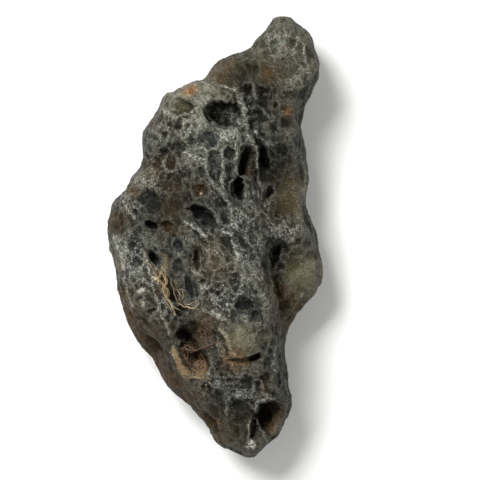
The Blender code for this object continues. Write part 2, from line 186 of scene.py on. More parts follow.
# Floors of the sharpest holes: how high their walls reach at most over them, then for each
# its heights in millimetres at its left and right sides, and its outline in pixels
WALL_HEIGHT = 10 * MM
FLOORS = [
    # Crown hole, slit and black pit
    (11.9, 13.2, [
        (206, 107), (211, 102), (220, 100), (234, 101), (242, 108), (243, 122), (238, 130), (224, 130),
        (217, 126), (211, 119),
    ]),
    (13.2, 13.2, [(234, 175), (242, 177), (246, 188), (246, 204), (238, 203), (232, 190)]),
    (10.4, 11.0, HOLES["black pit"][2]),
    # Upper part of the tail hole
    (7.4, 10.8, [
        (257, 402), (264, 399), (277, 400), (284, 408), (282, 424), (272, 430), (262, 427),
        (257, 416),
    ]),
]

# Unevenness of the lines seen from above: size and how far it shifts them
WAVES = [(6 * PIXEL, 2.4 * PIXEL), (2.6 * PIXEL, 1.1 * PIXEL)]

# Pale crests: how high the strongest stand, half their breadth, and for each its strength
# and the line that it follows
CREST_HEIGHT = 0.34 * MM
CREST_REACH = 1.25 * PIXEL
CRESTS = [
    # Horn
    (0.5, [(266, 32), (268, 40), (273, 38), (279, 36), (281, 46), (284, 53), (291, 52), (297, 46)]),
    (0.5, [(283, 26), (287, 34), (291, 37), (299, 38), (297, 46)]),
    (0.5, [(283, 56), (290, 57), (296, 52)]),
    (0.7, [(302, 42), (304, 52), (306, 62), (308, 72), (309, 80)]),
    (0.5, [(253, 83), (254, 97)]),
    (0.4, [(248, 109), (256, 106), (264, 110), (270, 118)]),
    # Lobe
    (0.8, [(189, 84), (200, 82), (212, 83), (222, 86), (230, 88)]),
    (0.7, [(230, 88), (236, 92), (239, 100), (242, 110), (244, 120), (248, 128)]),
    (0.8, [(248, 128), (256, 132), (262, 141), (268, 146)]),
    (0.9, [(190, 97), (197, 101), (203, 104), (206, 113), (204, 119)]),
    (0.9, [(206, 114), (211, 122), (218, 129), (228, 132), (238, 131), (243, 125)]),
    (0.8, [(163, 110), (168, 115), (175, 118), (183, 116), (192, 113), (199, 108)]),
    (0.8, [(184, 152), (190, 156), (198, 159), (206, 160)]),
    (0.5, [(220, 130), (221, 138), (219, 148), (208, 151)]),
    (0.5, [(163, 161), (165, 168), (171, 172), (176, 170), (179, 164)]),
    # Between the slots
    (0.8, [(222, 152), (222, 162), (223, 172), (222, 182)]),
    (0.5, [(237, 134), (236, 142), (236, 155), (236, 168), (238, 177)]),
    (0.5, [(256, 146), (257, 158), (257, 170), (258, 182), (262, 190), (262, 197)]),
    (0.6, [(262, 197), (266, 208), (270, 220), (276, 229), (283, 238), (290, 241), (295, 236), (297, 225)]),
    (0.6, [(297, 150), (302, 158), (305, 170), (306, 185), (306, 205)]),
    # Middle
    (0.6, [(205, 160), (206, 172), (212, 183), (220, 192), (228, 202), (232, 212), (232, 222)]),
    (0.9, [(222, 230), (227, 234), (232, 233), (233, 240), (236, 249), (238, 258), (240, 264)]),
    (0.6, [(236, 207), (242, 213), (248, 220), (254, 226)]),
    (0.6, [(262, 210), (256, 217), (250, 222)]),
    (0.6, [(207, 204), (214, 212), (219, 222)]),
    (1.0, [(186, 222), (193, 227), (200, 232), (206, 236)]),
    (0.7, [(192, 269), (198, 274), (202, 276)]),
    (0.6, [(211, 293), (216, 300), (222, 300)]),
    (1.5, [(213, 310), (217, 315), (221, 320)]),
    (0.5, [(240, 264), (246, 272), (252, 280), (258, 288), (262, 298)]),
    # Left
    (0.7, [(122, 200), (128, 209), (134, 218)]),
    (1.4, [(119, 246), (121, 256), (123, 270)]),
    (0.8, [(112, 236), (118, 248), (121, 262), (123, 275), (127, 290), (132, 308)]),
    (0.8, [(143, 250), (147, 262), (149, 272), (152, 282), (154, 292), (158, 302), (160, 310), (163, 318)]),
    (0.6, [(163, 318), (168, 326), (171, 335)]),
    # Right edge of the middle, and the web in the cave beside it
    (0.4, [(271, 243), (268, 255), (271, 268), (271, 278), (275, 292), (277, 305), (279, 320), (281, 335)]),
    (0.6, [(284, 250), (280, 260), (275, 268)]),
    (0.8, [(276, 348), (276, 360), (274, 372)]),
    # Low part and tail
    (0.5, [(238, 376), (246, 373), (253, 376), (254, 386), (252, 395)]),
    (0.5, [(253, 381), (257, 378), (261, 382), (262, 391), (270, 396)]),
    (0.8, [(257, 402), (262, 399), (269, 397), (277, 400)]),
    (0.5, [(256, 402), (256, 414), (258, 423), (262, 432), (266, 438)]),
    (0.6, [(255, 417), (250, 422), (248, 431), (248, 441), (252, 447)]),
    (0.4, [(225, 393), (228, 405), (226, 414)]),
    # Lip
    (0.6, [(220, 328), (226, 335), (229, 343), (233, 354), (243, 358), (252, 353)]),
]

# Cracks: how deep the strongest are, and for each its strength and line
CRACK_DEPTH = 0.5 * MM
CRACKS = [
    (1.0, [(216, 328), (220, 333), (223, 339), (225, 346), (228, 353), (231, 359)]),
    (0.8, [(277, 350), (279, 358), (279, 368), (278, 376)]),
    (0.6, [(196, 252), (197, 258), (198, 265)]),
]

# Ridges that the skin builds up between hollows: the height of their tops in millimetres,
# how far from their lines they have dropped by RIDGE_DROP, in pixels, and their lines
RIDGE_DROP = 3 * MM
RIDGES = [
    (14.7, 8.0, [(240, 99), (243, 107), (245, 116), (246, 124)]),
    (13.0, 6.0, [(237, 101), (238, 110), (239, 119)]),
    (13.3, 11.0, [(247, 102), (250, 116), (255, 133)]),
    (17.5, 2.5, [(230, 181), (231, 198)]),
    (16.2, 1.8, [(256, 147), (256.5, 160), (257, 177)]),
    (13.4, 2.4, [(176, 346), (186, 349), (198, 351)]),
    (11.5, 1.8, [(257, 420), (259, 429), (263, 437), (267, 442)]),
]

# Lines stained with cream soil, as round the soil pit: strength and line
CREAM_LINES = [
    (1.0, [(173, 345), (173, 352), (176, 360), (180, 368), (186, 377)]),
    (1.0, [(175, 350), (178, 360), (182, 368)]),
    (0.8, [(178, 357), (181, 365), (187, 373)]),
    (0.9, [(180, 371), (188, 379)]),
    (0.8, [(184, 373), (191, 377), (198, 376), (207, 378)]),
    (0.6, [(147, 262), (144, 252)]),
    (0.6, [(165, 256), (166, 270)]),
    (0.5, [(219, 328), (224, 333), (227, 340), (229, 348), (232, 356)]),
]

# Cells that meet in crests: size, depth, how sharp the crests are, how far the cells' sides
# wave as a share of the size, and an offset that gives each kind a pattern of its own. Then
# the direction of the stone's grain and how much longer the cells are along it
SCALLOPS = (1.9 * MM, 0.36 * MM, 1.5, 0.5, 0.0)
CELLS = (1.0 * MM, 0.14 * MM, 2.2, 0.6, 7.3)
GRAIN_TURN = math.radians(-62)
GRAIN_STRETCH = 1.45

# Smooth places seen from above: centre, radius in pixels and the share of roughness left
SMOOTH_SPOTS = [
    (185, 122, 30, 0.6), (285, 45, 30, 0.6), (222, 68, 20, 0.45), (302, 275, 24, 0.45),
    (241, 338, 17, 0.25), (290, 200, 16, 0.6),
]


def plan(px, py):
    """The plan position, in metres, of a pixel of the photograph."""
    return (px - MIDDLE_X) * PIXEL, (MIDDLE_Y - py) * PIXEL


def new_object(name, mesh):
    """An object of that mesh in the scene."""
    made = bpy.data.objects.new(name, mesh)
    bpy.context.scene.collection.objects.link(made)
    return made


def apply_modifiers(target):
    """Replaces the object's mesh by what its modifiers make of it."""
    graph = bpy.context.evaluated_depsgraph_get()
    made = bpy.data.meshes.new_from_object(target.evaluated_get(graph))
    target.modifiers.clear()
    target.data = made


def remesh(target, voxel):
    """Gives the object a skin of even faces."""
    modifier = target.modifiers.new("Remesh", "REMESH")
    modifier.mode = "VOXEL"
    modifier.voxel_size = voxel
    apply_modifiers(target)


def points_of(mesh):
    """The mesh's vertices as an array of positions."""
    flat = np.empty(len(mesh.vertices) * 3, dtype=np.float32)
    mesh.vertices.foreach_get("co", flat)
    return flat.reshape(-1, 3).astype(float)


def normals_of(mesh):
    """The mesh's vertex normals as an array."""
    flat = np.empty(len(mesh.vertices) * 3, dtype=np.float32)
    mesh.vertex_normals.foreach_get("vector", flat)
    return flat.reshape(-1, 3).astype(float)


def move_points(mesh, points):
    """Puts the mesh's vertices at these positions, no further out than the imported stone."""
    inside = np.clip(points, np.array(cad_low), np.array(cad_high))
    mesh.vertices.foreach_set("co", inside.astype(np.float32).ravel())
    mesh.update()


def averaged(mesh, values, rounds):
    """Values at the vertices, each moved halfway to its neighbours' mean, that many times."""
    flat = np.empty(len(mesh.edges) * 2, dtype=np.int32)
    mesh.edges.foreach_get("vertices", flat)
    one, other = flat.reshape(-1, 2).T
    count = len(mesh.vertices)
    neighbours = np.bincount(one, minlength=count) + np.bincount(other, minlength=count)
    values = values.reshape(count, -1).copy()
    for _ in range(rounds):
        for column in range(values.shape[1]):
            value = values[:, column]
            total = np.bincount(one, value[other], count) + np.bincount(other, value[one], count)
            values[:, column] = 0.5 * value + 0.5 * total / neighbours
    return values


def smooth_step(value, low, high):
    """0 up to low, 1 from high on, and smooth between them."""
    share = np.clip((value - low) / (high - low), 0, 1)
    return share * share * (3 - 2 * share)


def pixels_from(points, px, py):
    """How many pixels each point lies from a pixel, seen from above."""
    return np.linalg.norm(points[:, :2] - np.array(plan(px, py)), axis=1) / PIXEL


def gap_to_line(points, line):
    """How far each plan point is from a line through pixels."""
    knots = np.array([plan(*knot) for knot in line])
    nearest = np.full(len(points), np.inf)
    for start, end in zip(knots[:-1], knots[1:]):
        along = end - start
        offset = points - start
        share = np.clip(offset @ along / (along @ along), 0, 1)
        nearest = np.minimum(nearest, np.linalg.norm(offset - share[:, None] * along, axis=1))
    return nearest


def wavy(points):
    """The points, shifted a little in plan, so that pits and crests get uneven sides."""
    shift = np.zeros((len(points), 2))
    for size, depth in WAVES:
        noises = [noise.noise_vector(spot)[:2] for spot in (points / size).tolist()]
        shift += np.array(noises) * depth
    return points[:, :2] + shift


def pit_distance(points, pit):
    """How far out each plan point is in a pit: 0 in its middle and 1 on its rim."""
    px, py, half_length, half_width, turn, _ = pit
    angle = math.radians(turn)
    x, y = (points - np.array(plan(px, py))).T / PIXEL
    along = x * math.cos(angle) + y * math.sin(angle)
    across = y * math.cos(angle) - x * math.sin(angle)
    return np.hypot(along / half_length, across / half_width)


def on_lines(flat, lines):
    """How strongly soft lines lie on each plan point."""
    share = np.zeros(len(flat))
    for strength, line in lines:
        share = np.maximum(share, strength * np.exp(-((gap_to_line(flat, line) / CREST_REACH) ** 2)))
    return share


def depth_inside(points, outline):
    """How far inside an outline of pixels each plan point is, below zero outside it."""
    gap = gap_to_line(points, [*outline, outline[0]])
    corners = np.array([plan(*corner) for corner in outline])
    x, y = points.T
    inside = np.zeros(len(points), dtype=bool)
    for (x0, y0), (x1, y1) in zip(corners, np.roll(corners, -1, axis=0)):
        crosses = (y0 > y) != (y1 > y)
        inside ^= crosses & (x < x0 + (y - y0) * (x1 - x0) / (y1 - y0 + TINY))
    return np.where(inside, gap, -gap)


def wall_and_level(points, left, right, outline):
    """A hole's wall, from 0 outside to 1 on its floor, and its level from left to right."""
    across = np.array([plan(*corner)[0] for corner in outline])
    share = smooth_step(points[:, 0], across.min(), across.max())
    wall = smooth_step(depth_inside(points, outline), 0, WALL_REACH * PIXEL)
    return wall, left + (right - left) * share


def on_rims(flat):
    """How strongly the rims of the pits and holes lie on each plan point."""
    inside = np.full(len(flat), -np.inf)
    for _, _, outline in HOLES.values():
        inside = np.maximum(inside, depth_inside(flat, outline))
    share = HOLE_RIM_SHARE * np.exp(-(((inside / PIXEL + RIM_OFFSET) / RIM_REACH) ** 2))
    for pit in PITS:
        gap = (pit_distance(flat, pit) - 1) * min(pit[2:4])
        share = np.maximum(share, np.exp(-(((gap - RIM_OFFSET) / RIM_REACH) ** 2)))
    return share


def crests_and_rims(flat):
    """How far out the crests and rims stand at each plan point, less the cracks."""
    height = PIT_RIM * on_rims(flat) + CREST_HEIGHT * on_lines(flat, CRESTS)
    return height - CRACK_DEPTH * on_lines(flat, CRACKS)


def sunk(flat):
    """How far down the pits and holes lie at each plan point."""
    depth = np.zeros(len(flat))
    for pit in PITS + HOLLOWS:
        depth += np.clip(1 - pit_distance(flat, pit) ** 2, 0, 1) ** 0.7 * pit[-1] * MM
    for hole in HOLES.values():
        wall, deeper = wall_and_level(flat, *hole)
        depth += wall * deeper * MM
    return depth


def ridged(flat, heights):
    """The heights, but none under the ridges between hollows."""
    for top, reach, line in RIDGES:
        drop = RIDGE_DROP * (gap_to_line(flat, line) / (reach * PIXEL)) ** 2
        heights = np.maximum(heights, top * MM - drop)
    return heights


def floored(flat, heights):
    """The heights, but none above the floors of the sharpest holes."""
    for hole in FLOORS:
        wall, level = wall_and_level(flat, *hole)
        highest = level * MM + (1 - wall) * WALL_HEIGHT
        heights = np.where(wall > 0, np.minimum(heights, highest), heights)
    return heights


def warped(points, size, depth):
    """The points, each moved a little by smooth noise, so that cells get wavy sides."""
    shifts = [noise.noise_vector(spot) for spot in (points / size).tolist()]
    return points + np.array(shifts) * depth


def cell_crests(points, cells, sharpness):
    """1 on the crests between cells and 0 inside them, stretched along the stone's grain."""
    size, _, _, wave, offset = cells
    points = warped(points, 2 * size, wave * size)
    cosine, sine = math.cos(GRAIN_TURN), math.sin(GRAIN_TURN)
    along = (points[:, 0] * cosine + points[:, 1] * sine) / GRAIN_STRETCH
    across = points[:, 1] * cosine - points[:, 0] * sine
    turned = np.column_stack([along, across, points[:, 2]]) / size + offset
    gaps = np.array([noise.voronoi(spot)[0][:2] for spot in turned.tolist()])
    return 1 - np.clip(sharpness * (gaps[:, 1] - gaps[:, 0]), 0, 1)


def roughness_left(points, facing_up):
    """The share of roughness that each point keeps: less on the smooth places."""
    left = np.ones(len(points))
    for px, py, radius, share in SMOOTH_SPOTS:
        gap = pixels_from(points, px, py)
        left = np.minimum(left, share + (1 - share) * smooth_step(gap, 0.6 * radius, 1.2 * radius))
    return 1 - (1 - left) * facing_up


def carve(mesh):
    """The skin's first pass: pits, crests and scallops."""
    points, normals = points_of(mesh), normals_of(mesh)
    facing_up = smooth_step(normals[:, 2], 0.1, 0.6)
    _, depth, sharpness, _, _ = SCALLOPS
    crests = cell_crests(points, SCALLOPS, sharpness)
    move = (crests - 0.4) * depth * roughness_left(points, facing_up)
    flat = wavy(points)
    move += crests_and_rims(flat) * facing_up
    points += normals * move[:, None]
    above = smooth_step(normals[:, 2], -0.3, 0.0)
    points[:, 2] -= sunk(flat) * above
    points[:, 2] += (ridged(flat, points[:, 2]) - points[:, 2]) * above
    points[:, 2] = floored(flat, points[:, 2])
    move_points(mesh, points)


def pepper(mesh):
    """The skin's second pass: small cells."""
    points, normals = points_of(mesh), normals_of(mesh)
    facing_up = smooth_step(normals[:, 2], 0.1, 0.6)
    _, depth, sharpness, _, _ = CELLS
    crests = cell_crests(points, CELLS, sharpness)
    move = (crests - 0.5) * depth * roughness_left(points, facing_up)
    move_points(mesh, points + normals * move[:, None])


def add_attribute(mesh, name, values):
    """A named number at each vertex, for the material."""
    attribute = mesh.attributes.new(name, "FLOAT", "POINT")
    attribute.data.foreach_set("value", values.astype(np.float32))


def bulge(mesh, rounds):
    """How far each point stands out of the mean of what is around it, in metres."""
    points, normals = points_of(mesh), normals_of(mesh)
    return ((points - averaged(mesh, points, rounds)) * normals).sum(1)


# Colours of the skin where it isn't plain grey glass: pixel, radius in pixels and strength
# Brown spots are mostly stains, but those along the left flank are painted shade and a painted warm
# reflection
BROWN_SPOTS = [
    (190, 90, 6, 1.0), (170, 190, 12, 0.6), (172, 210, 12, 0.7), (168, 226, 9, 0.9),
    (171, 163, 8, 0.4), (159, 164, 8, 0.4), (152, 172, 12, 0.6), (135, 192, 7, 0.8),
    (200, 190, 8, 0.6), (113, 222, 10, 0.9), (124, 215, 8, 0.7), (126, 320, 20, 1.0),
    (120, 298, 12, 0.9), (113, 265, 8, 0.9), (138, 342, 22, 1.0), (155, 330, 12, 0.7),
    (152, 364, 20, 1.0), (170, 382, 18, 1.0), (188, 402, 18, 1.0), (205, 420, 16, 0.9),
    (222, 436, 14, 0.7), (278, 415, 10, 0.9), (270, 425, 10, 0.7), (195, 340, 16, 0.8),
    (205, 322, 12, 0.8), (192, 355, 14, 1.0), (236, 360, 14, 0.9), (165, 285, 12, 0.6),
    (284, 300, 12, 0.8), (286, 320, 12, 0.8), (215, 268, 14, 0.5), (210, 250, 10, 0.5),
    (288, 110, 8, 0.7), (270, 75, 12, 0.6), (250, 170, 7, 0.4), (222, 70, 16, 0.5),
    (292, 205, 12, 0.5), (294, 182, 8, 0.5), (264, 384, 7, 0.5), (150, 120, 6, 0.6),
]
RUST_SPOTS = [
    (187, 92, 4, 0.8), (194, 89, 3, 0.6), (196, 86, 2, 1.0), (286, 112, 4, 0.9), (232, 60, 3, 0.7),
    (234, 358, 6, 1.0), (241, 359, 5, 0.8), (199, 367, 7, 0.8), (249, 170, 3, 0.3),
    (280, 289, 2, 0.8), (219, 422, 3, 0.7), (201, 187, 3, 0.7), (183, 232, 3, 0.5),
    (297, 306, 3, 0.6), (228, 66, 3, 0.5), (286, 49, 3, 0.4), (266, 72, 4, 0.5),
]
OLIVE_SPOTS = [
    (285, 65, 34, 0.5), (228, 68, 24, 0.6), (256, 52, 14, 0.7), (290, 195, 26, 0.8),
    (300, 275, 28, 0.7), (303, 35, 7, 0.9), (284, 22, 8, 0.6), (166, 263, 7, 0.9),
    (314, 66, 9, 0.7), (241, 338, 18, 0.8), (250, 452, 10, 0.8), (215, 258, 16, 0.6),
    (272, 300, 10, 0.6), (240, 425, 24, 0.5), (252, 158, 8, 0.8), (135, 182, 10, 0.5),
    (178, 103, 12, 0.5), (182, 390, 12, 0.6), (272, 420, 12, 0.6),
]
COOL_SPOTS = [
    (155, 259, 10, 0.9), (150, 203, 10, 0.7), (180, 245, 7, 0.8), (208, 140, 12, 0.6),
    (214, 165, 10, 0.7), (203, 216, 16, 0.5), (176, 270, 9, 0.6), (244, 250, 16, 0.5),
    (246, 308, 16, 0.6), (276, 46, 9, 0.5), (240, 200, 8, 0.6), (188, 285, 8, 0.6),
    (130, 255, 14, 0.4), (238, 385, 16, 0.4),
]
FROST_SPOTS = [
    (219, 315, 3.5, 2.6), (251, 445, 4, 2.0), (117, 240, 6, 0.9), (122, 256, 4, 1.6),
    (123, 267, 3, 2.6), (141, 290, 3, 2.0), (144, 303, 3, 0.9), (190, 155, 7, 0.6),
    (203, 158, 5, 0.6), (222, 135, 6, 0.7), (232, 134, 6, 0.6), (240, 122, 5, 0.6),
    (203, 112, 6, 0.6), (268, 143, 4, 0.5), (233, 90, 4, 0.8), (138, 178, 9, 0.5),
    (166, 129, 3, 0.7), (188, 133, 3, 0.9), (144, 236, 4, 0.7), (203, 287, 4, 0.7),
    (196, 273, 4, 0.6), (217, 382, 4, 0.6), (248, 282, 9, 0.4), (270, 250, 4, 0.5),
    (304, 190, 5, 0.7), (275, 364, 4, 0.8), (168, 113, 4, 0.7), (224, 170, 3, 0.6),
    (180, 254, 3, 0.8), (238, 396, 4, 0.6), (288, 62, 9, 0.4), (284, 55, 8, 0.4),
    (292, 85, 10, 0.3), (306, 108, 2, 0.9), (214, 172, 4, 0.3), (302, 295, 3, 0.7),
    (124, 250, 6, 0.7), (228, 398, 4, 0.4), (249, 221, 6, 0.4), (170, 92, 3, 0.8),
    (122, 262, 4, 1.1), (213, 313, 3, 1.0), (223, 318, 3, 1.0), (136, 270, 8, 0.5),
    (184, 375, 3, 0.8), (240, 330, 5, 0.5), (190, 97, 4, 0.7), (186, 84, 5, 0.5), (210, 86, 8, 0.4),
    (176, 100, 5, 0.4), (250, 137, 5, 0.6),
]
# Places with many pale veins and sparkles
DUSTY_SPOTS = [
    (128, 262, 24, 1.0), (150, 275, 18, 0.8), (215, 300, 18, 1.0), (235, 285, 22, 0.9),
    (240, 250, 20, 1.0), (232, 225, 18, 0.9), (215, 255, 16, 0.8), (200, 235, 12, 0.9),
    (205, 155, 14, 1.0), (225, 140, 16, 0.9), (205, 110, 14, 0.8), (240, 110, 12, 0.9),
    (170, 118, 12, 0.8), (185, 125, 24, 0.9), (150, 178, 18, 0.8), (128, 205, 14, 0.7),
    (222, 185, 14, 0.7), (258, 200, 16, 0.7), (285, 232, 16, 0.9), (250, 140, 10, 0.8),
    (162, 305, 14, 0.8), (215, 345, 12, 0.6), (205, 380, 16, 0.8), (240, 385, 18, 0.6),
    (270, 300, 10, 0.6), (278, 45, 14, 0.6), (295, 75, 12, 0.5), (248, 108, 12, 0.6),
    (250, 320, 14, 0.5), (268, 260, 8, 0.5),
]
# Broad tone of the glass, partly its own and partly painted light and shade: where it is paler or darker
# than the rest, by a share.
# Some spots are painted light on tops that tilt towards the key light, and some are painted shade, as in
# the side cave and the black pit.
TONE_AND_LIGHT_SPOTS = [
    (285, 38, 26, 0.50), (190, 97, 24, 1.80), (190, 132, 26, 0.65), (130, 262, 22, 0.25),
    (272, 290, 10, 0.4), (302, 275, 24, 1.25), (318, 262, 10, 0.4), (240, 338, 18, 1.30),
    (262, 140, 8, 0.3), (232, 125, 14, 0.2), (272, 340, 10, 0.2), (304, 190, 8, 0.3),
    (312, 70, 8, 0.3), (240, 45, 10, 0.2), (275, 425, 10, 0.5), (258, 95, 20, -0.30),
    (278, 160, 20, -0.35), (268, 170, 14, -0.4), (168, 210, 26, -0.35), (240, 425, 28, -0.35),
    (215, 400, 20, -0.35), (262, 418, 12, -0.3), (150, 350, 24, -0.30), (245, 305, 12, -0.25),
    (200, 345, 16, -0.35), (215, 165, 12, -0.2), (150, 222, 12, -0.30), (248, 165, 9, -0.3),
    (264, 158, 14, -0.25), (228, 212, 22, -0.3), (190, 91, 5, -0.5), (276, 258, 9, -0.5),
    (280, 300, 10, -0.5), (232, 72, 18, -0.35), (180, 395, 18, -0.30), (188, 337, 7, -0.8),
    (160, 190, 14, -0.2), (195, 255, 8, -0.2), (114, 225, 8, -0.4), (190, 285, 7, -0.2),
    (216, 92, 14, 1.1), (240, 395, 18, -0.15), (285, 395, 14, -0.3), (270, 365, 10, -0.1),
    (210, 205, 16, -0.15),
]
TONE_RANGE = (0.15, 2.8)


def spotted(points, spots, join=np.maximum):
    """How strongly soft spots lie on each point, the strongest there or, with np.add, their sum."""
    share = np.zeros(len(points))
    for px, py, radius, strength in spots:
        gap = pixels_from(points, px, py)
        share = join(share, strength * np.exp(-((gap / radius) ** 2)))
    return share


def colour_attributes(mesh):
    """What the material needs to know at each vertex."""
    points, normals = points_of(mesh), normals_of(mesh)
    facing_up = smooth_step(normals[:, 2], 0.0, 0.5)
    flat = wavy(points)
    add_attribute(mesh, "fine_bulge", bulge(mesh, 6) / MM)
    add_attribute(mesh, "broad_bulge", bulge(mesh, 60) / MM)
    web = np.maximum(0.75 * cell_crests(points, CELLS, 3.0), cell_crests(points, SCALLOPS, 5.0))
    web *= roughness_left(points, facing_up)
    add_attribute(mesh, "web", web * (0.5 + 0.5 * facing_up))
    add_attribute(mesh, "crest_line", on_lines(flat, CRESTS) * facing_up)
    add_attribute(mesh, "pit_rim", on_rims(flat) * facing_up)
    add_attribute(mesh, "dusty", spotted(flat, DUSTY_SPOTS))
    above = smooth_step(normals[:, 2], -0.1, 0.2)
    add_attribute(mesh, "crack", on_lines(flat, CRACKS) * above)
    add_attribute(mesh, "cream", on_lines(flat, CREAM_LINES) * above)
    add_attribute(mesh, "brown", spotted(flat, BROWN_SPOTS))
    add_attribute(mesh, "rust", spotted(flat, RUST_SPOTS) * facing_up)
    add_attribute(mesh, "olive", spotted(flat, OLIVE_SPOTS))
    add_attribute(mesh, "cool", spotted(flat, COOL_SPOTS) * facing_up)
    add_attribute(mesh, "frost", spotted(flat, FROST_SPOTS) * facing_up)
    # The tone holds painted light on tops that face the key light and painted shade in the cave and deep
    # pits
    add_attribute(mesh, "tone", np.clip(1 + spotted(flat, TONE_AND_LIGHT_SPOTS, np.add), *TONE_RANGE))


class Paint:
    """Builds a material's nodes, each call giving the socket of its result."""

    def __init__(self, name):
        self.material = bpy.data.materials.new(name)
        self.material.use_nodes = True
        self.nodes = self.material.node_tree.nodes
        self.links = self.material.node_tree.links
        self.shader = self.nodes["Principled BSDF"]
        self.times, self.plus = partial(self.math, "MULTIPLY"), partial(self.math, "ADD")
        self.most, self.least = partial(self.math, "MAXIMUM"), partial(self.math, "MINIMUM")

    def plug(self, socket, value):
        """Sets a socket to a value, or links another node's result to it."""
        if isinstance(value, bpy.types.NodeSocket):
            self.links.new(value, socket)
        elif isinstance(value, tuple):
            socket.default_value = (*value, 1.0)
        else:
            socket.default_value = value

    def attribute(self, name):
        """The number that the mesh holds under that name."""
        node = self.nodes.new("ShaderNodeAttribute")
        node.attribute_name = name
        return node.outputs["Fac"]

    def noise(self, size, detail=2.0, roughness=0.5):
        """Smooth noise whose features are about that size, in metres."""
        place = self.nodes.new("ShaderNodeTexCoord")
        node = self.nodes.new("ShaderNodeTexNoise")
        self.plug(node.inputs["Vector"], place.outputs["Object"])
        self.plug(node.inputs["Scale"], 1 / size)
        self.plug(node.inputs["Detail"], detail)
        self.plug(node.inputs["Roughness"], roughness)
        return node.outputs["Fac"]

    def specks(self, size, radius, share):
        """1 on dots scattered about that size apart, and 0 between them."""
        place = self.nodes.new("ShaderNodeTexCoord")
        node = self.nodes.new("ShaderNodeTexVoronoi")
        self.plug(node.inputs["Vector"], place.outputs["Object"])
        self.plug(node.inputs["Scale"], 1 / size)
        split = self.nodes.new("ShaderNodeSeparateColor")
        self.plug(split.inputs["Color"], node.outputs["Color"])
        dots = self.stretch(node.outputs["Distance"], 0.6 * radius, radius, 1.0, 0.0)
        chosen = self.stretch(split.outputs["Red"], 1 - share, 1 - 0.5 * share)
        return self.times(dots, chosen)

    def veins(self, size, breadth=0.16):
        """1 on a net of thin wavy lines round cells of about that size, and 0 inside them."""
        place = self.nodes.new("ShaderNodeTexCoord")
        turned = self.nodes.new("ShaderNodeMapping")
        turned.vector_type = "TEXTURE"
        turned.inputs["Rotation"].default_value = (0.0, 0.0, GRAIN_TURN)
        turned.inputs["Scale"].default_value = (GRAIN_STRETCH, 1.0, 1.0)
        self.plug(turned.inputs["Vector"], place.outputs["Object"])
        wave = self.nodes.new("ShaderNodeTexNoise")
        self.plug(wave.inputs["Vector"], place.outputs["Object"])
        self.plug(wave.inputs["Scale"], 1 / (1.5 * size))
        self.plug(wave.inputs["Detail"], 3.0)
        shift = self.nodes.new("ShaderNodeVectorMath")
        shift.operation = "MULTIPLY_ADD"
        self.plug(shift.inputs[0], wave.outputs["Color"])
        shift.inputs[1].default_value = (1.6 * size,) * 3
        self.plug(shift.inputs[2], turned.outputs["Vector"])
        node = self.nodes.new("ShaderNodeTexVoronoi")
        node.feature = "DISTANCE_TO_EDGE"
        self.plug(node.inputs["Vector"], shift.outputs["Vector"])
        self.plug(node.inputs["Scale"], 1 / size)
        return self.stretch(node.outputs["Distance"], 0.0, breadth, 1.0, 0.0)

    def math(self, operation, one, other=0.0):
        """One sum of two numbers."""
        node = self.nodes.new("ShaderNodeMath")
        node.operation = operation
        self.plug(node.inputs[0], one)
        self.plug(node.inputs[1], other)
        return node.outputs[0]

    def stretch(self, value, low, high, out_low=0.0, out_high=1.0):
        """The value's place between low and high, clamped and stretched."""
        node = self.nodes.new("ShaderNodeMapRange")
        for name, number in zip(
            ("Value", "From Min", "From Max", "To Min", "To Max"),
            (value, low, high, out_low, out_high),
        ):
            self.plug(node.inputs[name], number)
        return node.outputs["Result"]

    def spread(self, value, at_zero, at_one):
        """From one number to the other while the value goes from 0 to 1."""
        return self.stretch(value, 0.0, 1.0, at_zero, at_one)

    def mix(self, share, one, other):
        """From one colour to the other."""
        node = self.nodes.new("ShaderNodeMix")
        node.data_type = "RGBA"
        sockets = [socket for socket in node.inputs if socket.type == "RGBA"]
        self.plug(node.inputs[0], share)
        self.plug(sockets[0], one)
        self.plug(sockets[1], other)
        return next(socket for socket in node.outputs if socket.type == "RGBA")

    def shade(self, colour, share):
        """The colour, darker or paler by that share."""
        node = self.nodes.new("ShaderNodeVectorMath")
        node.operation = "SCALE"
        self.plug(node.inputs[0], colour)
        self.plug(node.inputs["Scale"], share)
        return node.outputs["Vector"]

    def bump(self, height, distance, strength=1.0):
        """Small bumps of that height on the shader."""
        node = self.nodes.new("ShaderNodeBump")
        self.plug(node.inputs["Height"], height)
        self.plug(node.inputs["Distance"], distance)
        self.plug(node.inputs["Strength"], strength)
        self.plug(self.shader.inputs["Normal"], node.outputs["Normal"])

    def surface(self, **values):
        """Sets the shader's own sockets, named with _ for a space."""
        for name, value in values.items():
            self.plug(self.shader.inputs[name.replace("_", " ")], value)
        return self.material


# The darkest glass, used in hollows, is partly painted shade
DARK_GLASS_AND_SHADE = (0.0032, 0.0030, 0.0014)
GREY_GLASS = (0.050, 0.050, 0.035)
OLIVE_GLASS = (0.062, 0.053, 0.027)
COOL_GLASS = (0.022, 0.027, 0.028)
FROST = (0.60, 0.60, 0.52)
CREAM = (0.42, 0.34, 0.20)
BROWN = (0.060, 0.034, 0.013)
# Painted shade for the creases of the cracks
CRACK_SHADE = (0.010, 0.007, 0.004)
RUST = (0.17, 0.075, 0.025)
SPARKLE = (0.85, 0.86, 0.80)


